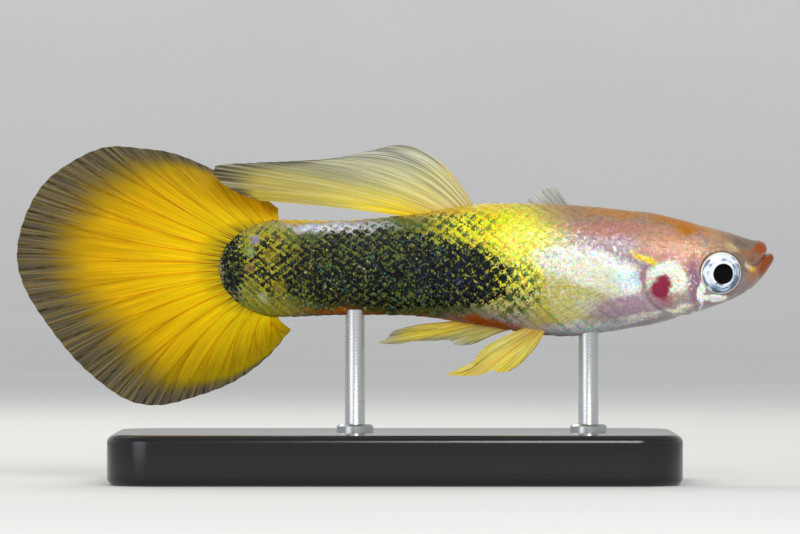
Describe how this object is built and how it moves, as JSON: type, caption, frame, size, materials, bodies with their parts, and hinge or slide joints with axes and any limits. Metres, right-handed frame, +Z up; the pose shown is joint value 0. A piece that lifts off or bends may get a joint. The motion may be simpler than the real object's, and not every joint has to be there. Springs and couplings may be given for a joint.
{
  "type": "fancy guppy model",
  "caption": "Life-size still model of a male fancy guppy with a yellow fan tail, a dark speckled flank and a silver-ringed eye, held on a plain display stand",
  "frame": {"origin": "on the floor, under the middle of the fish's whole length, at the centre of the stand", "axes": "+X towards the fish's nose, +Y towards its left side, +Z up"},
  "size_m": [0.0454, 0.02, 0.0202],
  "materials": {
    "skin": "moist pinkish tan fish skin",
    "silver_skin": "silvery, iridescent skin",
    "scaled_skin": "dark, iridescent scaled skin",
    "eye": "glossy silver eye with a black pupil",
    "yellow_fin": "thin yellow fin membrane with fine rays",
    "clear_fin": "thin clear fin membrane with fine rays",
    "stand_rod": "brushed stainless rod",
    "stand_base": "polished black acrylic"
  },
  "bodies": {
    "root": {"head": "skin", "lower_jaw": "skin", "gill_cover_left": "silver_skin", "gill_cover_right": "silver_skin", "eye_left": "eye", "eye_right": "eye", "trunk": "scaled_skin", "tail_stalk": "scaled_skin", "caudal_fin": "yellow_fin", "dorsal_fin": "yellow_fin", "anal_fin": "yellow_fin", "pelvic_fin_left": "yellow_fin", "pelvic_fin_right": "yellow_fin", "pectoral_fin_left": "clear_fin", "pectoral_fin_right": "clear_fin", "stand_rod_front": "stand_rod", "stand_rod_rear": "stand_rod", "stand_base": "stand_base"}
  },
  "joints": []
}
